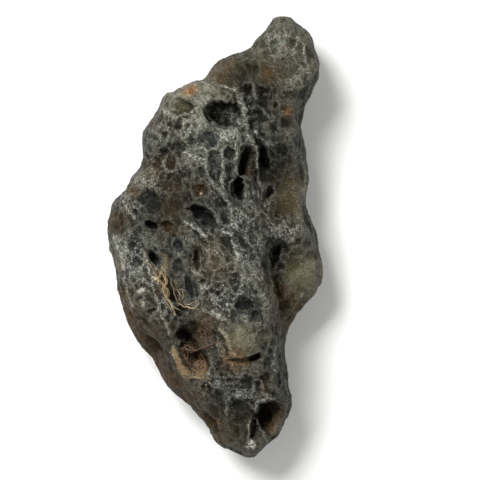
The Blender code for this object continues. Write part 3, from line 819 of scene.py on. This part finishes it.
class SkinPaint(Paint):
    """Builds the stone's material, whose parts share some textures and attributes."""

    def __init__(self):
        super().__init__("obsidian_skin")
        self.dusty, self.brown = self.attribute("dusty"), self.attribute("brown")
        self.tone, self.web = self.attribute("tone"), self.attribute("web")
        self.patches = self.stretch(self.noise(2.6 * MM, 3.0, 0.6), 0.35, 0.65)
        self.mottle = self.stretch(self.noise(1.0 * MM, 3.0, 0.6), 0.32, 0.68)
        self.grain = self.stretch(self.noise(0.42 * MM, 3.0, 0.7), 0.3, 0.7)
        self.speck = self.stretch(self.noise(0.20 * MM, 1.0), 0.35, 0.68)
        fine = self.stretch(self.attribute("fine_bulge"), -0.04, 0.04)
        broad = self.stretch(self.attribute("broad_bulge"), -0.6, 0.35)
        self.raised = self.plus(self.times(fine, 0.4), self.times(broad, 0.6))
        self.broken = self.times(
            self.stretch(self.grain, 0.1, 0.9), self.stretch(self.speck, 0.1, 1.0, 0.3, 1.0)
        )
        large, small = self.veins(1.3 * MM, 0.07), self.veins(0.7 * MM, 0.09)
        drawn = self.most(self.times(large, 0.6), self.times(small, 0.5))
        self.lines = self.most(drawn, self.times(self.web, self.web))

    def glass(self):
        """The glass's colour: dark in hollows, partly its own dark pits and partly painted shade, greyer
        where it is raised, stained, and toned with some painted light and shade.
        """
        toned = self.plus(self.raised, self.spread(self.grain, -0.15, 0.15))
        toned = self.plus(toned, self.spread(self.mottle, -0.2, 0.2))
        toned = self.plus(toned, self.spread(self.patches, -0.2, 0.2))
        # Darker in hollows, by the bulges: partly the glass's own glossy pits, partly painted shade
        body = self.mix(self.stretch(toned, 0.22, 1.18), DARK_GLASS_AND_SHADE, GREY_GLASS)
        stained = self.spread(self.mottle, 0.65, 1.0)
        body = self.mix(self.times(self.attribute("olive"), stained), body, OLIVE_GLASS)
        body = self.mix(self.times(self.attribute("cool"), 0.8), body, COOL_GLASS)
        # Brown: stains, and on the left flank painted shade and a painted warm reflection
        body = self.mix(self.times(self.brown, stained), body, BROWN)
        rusty = self.times(self.attribute("rust"), self.stretch(self.grain, 0.2, 0.8))
        # Scaled by the tone, which is partly painted light and painted shade
        body = self.shade(self.mix(rusty, body, RUST), self.tone)
        return self.shade(body, self.spread(self.speck, 0.7, 1.35))

    def frosted(self):
        """How much frost covers the glass: dusty veins and edges, crests, rims and patches."""
        veined = self.times(
            self.spread(self.dusty, 0.15, 1.0), self.stretch(self.patches, 0.2, 0.8, 0.35, 1.0)
        )
        net = self.times(
            self.times(self.lines, veined), self.stretch(self.raised, 0.2, 0.8, 0.3, 1.2)
        )
        edge = self.times(self.stretch(self.raised, 0.6, 1.1), self.spread(self.dusty, 0.2, 0.8))
        dust = self.times(self.most(net, edge), self.least(self.tone, 1.1))
        dust = self.times(dust, self.spread(self.brown, 1.0, 0.5))
        crest_line, pit_rim = self.attribute("crest_line"), self.attribute("pit_rim")
        line = self.most(self.times(crest_line, 1.1), self.times(pit_rim, 0.22))
        marks = self.times(self.most(dust, line), self.times(self.broken, 1.25))
        ragged = self.times(
            self.times(self.broken, 1.5), self.stretch(self.web, 0.0, 0.9, 0.45, 1.1)
        )
        haze = self.times(self.attribute("frost"), ragged)
        return self.least(self.most(marks, haze), 1.0)

    def glinting(self):
        """How much each spot glints."""
        dots = self.most(
            self.specks(0.28 * MM, 0.42, 0.22), self.specks(0.45 * MM, 0.35, 0.35)
        )
        dusted = self.times(dots, self.spread(self.dusty, 0.05, 0.42))
        return self.times(dusted, self.stretch(self.raised, 0.25, 0.75))


def obsidian_material():
    """Worn volcanic glass: frosted crests, dark glossy pits deepened by painted shade, olive and brown
    stains, some painted light, shade and warm reflection, and painted glints.
    """
    paint = SkinPaint()
    dust_colour = paint.mix(paint.times(paint.brown, 0.8), FROST, CREAM)
    colour = paint.mix(paint.frosted(), paint.glass(), dust_colour)
    # Painted shade along the creases of the cracks
    colour = paint.mix(paint.times(paint.attribute("crack"), 0.9), colour, CRACK_SHADE)
    creamy = paint.times(paint.attribute("cream"), paint.stretch(paint.broken, 0.0, 0.35))
    colour = paint.mix(creamy, colour, CREAM)
    colour = paint.mix(paint.glinting(), colour, SPARKLE)
    rough = paint.stretch(paint.raised, 0.1, 0.8, 0.30, 0.5)
    relief = paint.plus(paint.plus(paint.speck, paint.times(paint.grain, 1.6)), paint.lines)
    paint.bump(relief, 0.09 * MM, 1.0)
    return paint.surface(Base_Color=colour, Roughness=rough, IOR=1.5, Specular_IOR_Level=0.12)


def drop_crumbs(mesh):
    """Takes out the specks that the remesh cut loose, keeping the largest piece."""
    shape = bmesh.new()
    shape.from_mesh(mesh)
    seen = set()
    pieces = []
    for start in shape.verts:
        if start.index in seen:
            continue
        seen.add(start.index)
        piece = [start]
        for vert in piece:
            for edge in vert.link_edges:
                other = edge.other_vert(vert)
                if other.index not in seen:
                    seen.add(other.index)
                    piece.append(other)
        pieces.append(piece)
    loose = [vert for piece in sorted(pieces, key=len)[:-1] for vert in piece]
    bmesh.ops.delete(shape, geom=loose, context="VERTS")
    shape.to_mesh(mesh)
    shape.free()


def fine_stone():
    """The stone's fine skin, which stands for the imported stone."""
    stone = new_object("obsidian_stone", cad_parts["stone"].data.copy())
    remesh(stone, BASE_VOXEL)
    move_points(stone.data, averaged(stone.data, points_of(stone.data), BASE_ROUNDS))
    carve(stone.data)
    remesh(stone, SKIN_VOXEL)
    pepper(stone.data)
    fewer = stone.modifiers.new("Fewer", "DECIMATE")
    triangles = sum(len(face.vertices) - 2 for face in stone.data.polygons)
    fewer.ratio = min(1.0, SKIN_TRIANGLES / triangles)
    apply_modifiers(stone)
    drop_crumbs(stone.data)
    move_points(stone.data, points_of(stone.data))
    stone.data.shade_smooth()
    colour_attributes(stone.data)
    stone.data.materials.clear()
    stone.data.materials.append(obsidian_material())
    return stone


STRAND_STEP = 0.2 * MM
STRAND_SIDES = 7
WRIGGLE_SIZE = 0.7 * MM
WRIGGLE_DEPTH = 0.25 * MM


def smooth_line(knots, step):
    """Points about a step apart on a curve through the knots (Catmull-Rom)."""
    knots = [np.array(knot, dtype=float) for knot in knots]
    knots = [2 * knots[0] - knots[1], *knots, 2 * knots[-1] - knots[-2]]
    points = []
    for before, start, end, after in zip(knots[:-3], knots[1:-2], knots[2:-1], knots[3:]):
        steps = max(2, round(np.linalg.norm(end - start) / step))
        for t in np.arange(steps) / steps:
            points.append(
                0.5 * (
                    2 * start
                    + (end - before) * t
                    + (2 * before - 5 * start + 4 * end - after) * t**2
                    + (3 * start - before - 3 * end + after) * t**3
                )
            )
    points.append(knots[-2])
    return np.array(points)


class Ground:
    """The stone's upper surface, for laying things on it."""

    def __init__(self, stone):
        mesh = stone.data
        faces = [face.vertices for face in mesh.polygons]
        self.tree = BVHTree.FromPolygons([vert.co for vert in mesh.vertices], faces)

    def height(self, x, y):
        """The height of the surface seen from above at a plan position."""
        hit = self.tree.ray_cast(Vector((x, y, STONE_LENGTH)), Vector((0, 0, -1)))[0]
        return hit.z if hit else 0.0


def laid_route(ground, knots, radius, arch):
    """A strand's route: from end to end with that arch, but never below the stone."""
    flat = smooth_line([plan(*knot) for knot in knots], STRAND_STEP)
    spots = [(x / WRIGGLE_SIZE, y / WRIGGLE_SIZE, arch / MM) for x, y in flat.tolist()]
    flat += WRIGGLE_DEPTH * np.array([noise.noise_vector(spot)[:2] for spot in spots])
    surface = np.array([ground.height(*spot) for spot in flat])
    share = np.linspace(0, 1, len(flat))
    chord = surface[0] + (surface[-1] - surface[0]) * share + arch * np.sin(math.pi * share)
    height = np.maximum(surface, chord) + 0.7 * radius
    for _ in range(3):
        eased = (height[:-2] + height[1:-1] + height[2:]) / 3
        height[1:-1] = np.maximum(surface[1:-1] + 0.5 * radius, eased)
    return np.column_stack([flat, height])


def add_strand(shape, route, radius, taper=0.45):
    """Adds a closed tube along the route, thinner towards its ends, and counts its points."""
    along = np.gradient(route, axis=0)
    along /= np.linalg.norm(along, axis=1)[:, None]
    side = np.cross(along, (0, 0, 1.0))
    side /= np.linalg.norm(side, axis=1)[:, None]
    over = np.cross(side, along)
    share = np.linspace(0, 1, len(route))
    widths = radius * (1 - taper * np.abs(2 * share - 1) ** 3)
    rings = []
    for index, (spot, width) in enumerate(zip(route, widths)):
        width *= 1 + 0.25 * noise.noise(Vector(spot) / (0.5 * MM))
        angles = np.arange(STRAND_SIDES) * 2 * math.pi / STRAND_SIDES
        ring = [spot + width * (side[index] * math.cos(a) + over[index] * math.sin(a)) for a in angles]
        rings.append([shape.verts.new(corner) for corner in ring])
    for ring, after in zip(rings[:-1], rings[1:]):
        for i in range(STRAND_SIDES):
            j = (i + 1) % STRAND_SIDES
            shape.faces.new((ring[i], ring[j], after[j], after[i]))
    shape.faces.new(rings[0][::-1])
    shape.faces.new(rings[-1])
    return len(route) * STRAND_SIDES


# Rootlets: radius and arch in millimetres, and the pixels that each passes
ROOTLETS = [
    (0.09, 0.35, [(147, 261), (150, 265), (154, 269), (157, 274), (160, 278)]),
    (0.08, 0.10, [(150, 264), (154, 271), (157, 277), (160, 283)]),
    (0.09, 0.30, [(164, 274), (166, 283), (167, 291), (169, 300), (172, 306), (174, 309)]),
    (0.08, 0.20, [(160, 277), (162, 284), (165, 290), (167, 297)]),
    (0.10, 0.40, [(168, 300), (172, 305), (176, 308), (181, 311)]),
    (0.10, 0.40, [(167, 297), (170, 303), (173, 309), (176, 315)]),
    (0.06, 0.50, [(165, 299), (170, 307), (173, 314)]),
    (0.11, 0.60, [(177, 289), (179, 292), (180, 298), (181, 304), (178, 306)]),
    (0.06, 0.40, [(177, 290), (182, 288), (184, 294), (181, 299), (177, 299)]),
    (0.10, 0.40, [(177, 303), (183, 306), (189, 307), (195, 307), (199, 303)]),
    (0.06, 0.40, [(183, 305), (189, 304), (197, 302)]),
    (0.07, 0.30, [(171, 279), (173, 286), (175, 293), (177, 300), (178, 305)]),
]
DARK_ROOTS = [
    (0.15, 0.20, [(147, 262), (150, 266), (154, 269), (157, 274), (160, 278)]),
    (0.07, 0.20, [(162, 272), (164, 281), (165, 290), (168, 298)]),
    (0.06, 0.30, [(167, 276), (166, 285), (168, 294), (170, 302)]),
    (0.12, 0.30, [(184, 345), (189, 346), (194, 350), (199, 349), (207, 346), (213, 343), (220, 340)]),
    (0.08, 0.20, [(217, 339), (220, 342), (222, 347)]),
    (0.07, 0.30, [(205, 329), (207, 337), (205, 345)]),
    (0.09, 0.20, [(200, 352), (203, 358), (207, 364), (208, 370), (204, 374), (199, 376)]),
    (0.06, 0.20, [(186, 348), (188, 356), (187, 364)]),
    (0.06, 0.20, [(196, 352), (200, 358), (202, 366), (200, 374)]),
    (0.07, 0.20, [(192, 373), (198, 376), (204, 373), (206, 368)]),
    (0.05, 0.10, [(196, 377), (203, 381), (210, 383)]),
    (0.05, 0.10, [(198, 374), (205, 378), (211, 380)]),
]
BUNDLE_STRANDS = 13
BUNDLE_SEED = 5
TINT_SEED = 2


def bundle_lines():
    """Loose fibres that run side by side down the groove."""
    chance = np.random.default_rng(BUNDLE_SEED)
    lines = []
    for _ in range(BUNDLE_STRANDS):
        drift = chance.uniform(-1, 1, 4) * (6.5, 4.6, 3.4, 3.0)
        slip = chance.uniform(-4, 4)
        spots = [(161, 268 + slip), (163, 279), (165.5, 290), (168, 300 + 0.5 * slip)]
        knots = [(px + shift, py) for (px, py), shift in zip(spots, drift)]
        lines.append((chance.uniform(0.03, 0.065), chance.uniform(0.05, 0.5), knots))
    return lines


def strands(ground, name, lines, material):
    """One piece of many strands laid on the stone, each of its own tint."""
    chance = np.random.default_rng(TINT_SEED)
    shape = bmesh.new()
    tints = []
    for radius, arch, knots in lines:
        count = add_strand(shape, laid_route(ground, knots, radius * MM, arch * MM), radius * MM)
        tints += [chance.uniform(0, 1)] * count
    mesh = bpy.data.meshes.new(name)
    shape.to_mesh(mesh)
    shape.free()
    mesh.shade_smooth()
    mesh.materials.append(material)
    add_attribute(mesh, "tint", np.array(tints))
    return new_object(name, mesh)


def fibre_material(name, pale, dark):
    """Dry plant fibre: streaky and matte."""
    paint = Paint(name)
    patches = paint.stretch(paint.noise(0.9 * MM, 2.0), 0.35, 0.65)
    streaks = paint.stretch(paint.noise(0.12 * MM, 1.0), 0.35, 0.65)
    mixed = paint.plus(paint.times(patches, 0.4), paint.times(streaks, 0.25))
    share = paint.plus(mixed, paint.times(paint.attribute("tint"), 0.4))
    paint.bump(streaks, 0.02 * MM, 0.6)
    return paint.surface(Base_Color=paint.mix(share, dark, pale), Roughness=0.75)


# Heaps of grains: middle, half sizes in pixels, turn in degrees, how many, the least and
# greatest radius in millimetres, how deep they lie in millimetres, and how ochre they are
HEAPS = [
    (189, 356, 11, 6, -65, 260, 0.06, 0.20, 0.5, 0.05),
    (200, 367, 7, 7, 0, 260, 0.05, 0.20, 0.7, 0.50),
    (198, 372, 9, 3, 0, 120, 0.05, 0.14, 0.3, 0.80),
    (236, 360, 12, 5, -5, 330, 0.04, 0.15, 0.3, 0.60),
    (244, 362, 8, 3, 0, 80, 0.04, 0.12, 0.2, 0.75),
    (226, 354, 4, 6, 60, 60, 0.04, 0.12, 0.1, 0.80),
    (183, 371, 8, 4, -55, 190, 0.04, 0.12, 0.1, 1.0),
    (177, 357, 10, 2.5, -75, 110, 0.04, 0.10, 0.1, 1.0),
    (205, 332, 9, 11, 0, 160, 0.03, 0.10, 0.1, 0.25),
    (166, 264, 3, 9, 0, 60, 0.03, 0.08, 0.1, 0.45),
    (201, 188, 6, 6, 0, 60, 0.03, 0.10, 0.1, 0.30),
]
GRAIN_SEED = 9


def lumps(name, places, material, chance):
    """One piece of rough closed lumps, each place with its centre, radius and tint."""
    shape = bmesh.new()
    bmesh.ops.create_icosphere(shape, subdivisions=2, radius=1.0)
    ball = np.array([vert.co for vert in shape.verts])
    sides = np.array([[vert.index for vert in face.verts] for face in shape.faces])
    shape.free()
    points, faces = [], []
    for index, (centre, radius, _) in enumerate(places):
        start = chance.uniform(-50, 50, 3)
        bumps = [noise.noise(spot) for spot in (ball * 1.6 + start).tolist()]
        uneven = ball * (1 + 0.35 * np.array(bumps))[:, None] * chance.uniform(0.65, 1.25, 3)
        points.append(np.array(centre) + radius * uneven)
        faces.append(sides + index * len(ball))
    mesh = bpy.data.meshes.new(name)
    mesh.from_pydata(np.concatenate(points).tolist(), [], np.concatenate(faces).tolist())
    mesh.shade_smooth()
    mesh.materials.append(material)
    add_attribute(mesh, "ochre", np.repeat([tint for _, _, tint in places], len(ball)))
    return new_object(name, mesh)


def grains(ground):
    """Soil caught in the pits, as one piece of many small lumps."""
    chance = np.random.default_rng(GRAIN_SEED)
    places = []
    for px, py, half_x, half_y, turn, count, least, most, depth, ochre in HEAPS:
        angle = math.radians(turn)
        for _ in range(count):
            out, around = math.sqrt(chance.uniform(0, 1)), chance.uniform(0, 2 * math.pi)
            along, across = out * half_x * math.cos(around), out * half_y * math.sin(around)
            x, y = plan(px, py)
            x += PIXEL * (along * math.cos(angle) - across * math.sin(angle))
            y += PIXEL * (along * math.sin(angle) + across * math.cos(angle))
            radius = chance.uniform(least, most) * MM
            pile = depth * MM * (1 - out) * chance.uniform(0, 1)
            tint = min(1.0, max(0.0, ochre + chance.uniform(-0.35, 0.35)))
            places.append(((x, y, ground.height(x, y) + pile + 0.3 * radius), radius, tint))
    return lumps("soil_grains", places, soil_material(), chance)


def soil_material():
    """Dry crumbly soil, from red brown to ochre."""
    paint = Paint("soil_grains")
    rough = paint.stretch(paint.noise(0.25 * MM, 3.0, 0.7), 0.3, 0.7)
    brown = paint.mix(rough, (0.014, 0.007, 0.004), (0.075, 0.040, 0.020))
    ochre = paint.mix(rough, (0.10, 0.058, 0.025), (0.34, 0.24, 0.12))
    paint.bump(rough, 0.05 * MM, 1.0)
    return paint.surface(Base_Color=paint.mix(paint.attribute("ochre"), brown, ochre), Roughness=0.9)


# Pale crumbs: pixel, and the lumps' radii in millimetres
CRUMBS = [(156.5, 279, 0.42), (154.5, 278, 0.30), (159, 281, 0.26), (201.5, 194, 0.20)]
CRUMB_SEED = 3


def crumbs(ground):
    """Pale crumbs that lie on the rootlets and in a small pit."""
    places = []
    for px, py, size in CRUMBS:
        x, y = plan(px, py)
        places.append(((x, y, ground.height(x, y) + 0.4 * size * MM), size * MM, 1.0))
    paint = Paint("pale_crumbs")
    rough = paint.stretch(paint.noise(0.2 * MM, 3.0), 0.3, 0.7)
    paint.bump(rough, 0.04 * MM, 1.0)
    colour = paint.mix(rough, (0.26, 0.20, 0.11), (0.52, 0.43, 0.28))
    material = paint.surface(Base_Color=colour, Roughness=0.85)
    return lumps("pale_crumbs", places, material, np.random.default_rng(CRUMB_SEED))


def floor():
    """A plain pale floor."""
    paint = Paint("floor")
    mesh = bpy.data.meshes.new("floor")
    shape = bmesh.new()
    bmesh.ops.create_grid(shape, x_segments=1, y_segments=1, size=3.0)
    shape.to_mesh(mesh)
    shape.free()
    made = new_object("floor", mesh)
    made.data.materials.append(paint.surface(Base_Color=(0.86, 0.86, 0.85), Roughness=0.8))
    made.location.z = -0.05 * MM


def area_light(name, place, size, power):
    """A soft light at that place, facing the stone."""
    data = bpy.data.lights.new(name, "AREA")
    data.size = size
    data.energy = power
    made = bpy.data.objects.new(name, data)
    made.location = place
    made.rotation_mode = "QUATERNION"
    made.rotation_quaternion = (-Vector(place)).to_track_quat("-Z", "Y")
    bpy.context.scene.collection.objects.link(made)


def lights():
    """A soft key light from the upper left, a weak one opposite, and a pale sky."""
    area_light("key_light", (-0.24, 0.28, 0.50), 0.26, 5.6)
    area_light("fill_light", (0.45, -0.30, 0.50), 0.7, 1.6)
    world = bpy.data.worlds.new("sky")
    world.use_nodes = True
    sky = world.node_tree.nodes["Background"]
    sky.inputs["Color"].default_value = (1.0, 0.99, 0.96, 1.0)
    sky.inputs["Strength"].default_value = 0.36
    bpy.context.scene.world = world


def camera():
    """A long lens that looks straight down, framed as the photograph is."""
    distance = 1.0
    height_in_focus = 0.012
    data = bpy.data.cameras.new("camera")
    data.lens = data.sensor_width * (distance - height_in_focus) / (PHOTO_SIZE * PIXEL)
    data.clip_end = 10.0
    made = bpy.data.objects.new("camera", data)
    made.location = (*plan(PHOTO_SIZE / 2, PHOTO_SIZE / 2), distance)
    bpy.context.scene.collection.objects.link(made)
    bpy.context.scene.camera = made


camera()
lights()
floor()
stone = fine_stone()
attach(stone, "root")
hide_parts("stone")

ground = Ground(stone)
straw = fibre_material("dry_straw", (0.42, 0.33, 0.18), (0.10, 0.06, 0.028))
root_brown = fibre_material("dark_root", (0.17, 0.085, 0.038), (0.04, 0.02, 0.010))
for piece, slot in (
    (strands(ground, "rootlets", ROOTLETS + bundle_lines(), straw), "rootlet"),
    (strands(ground, "dark_roots", DARK_ROOTS, root_brown), "rootlet"),
    (grains(ground), "soil"),
    (crumbs(ground), "soil"),
):
    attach(piece, "root")

bpy.context.scene.view_settings.view_transform = "Standard"
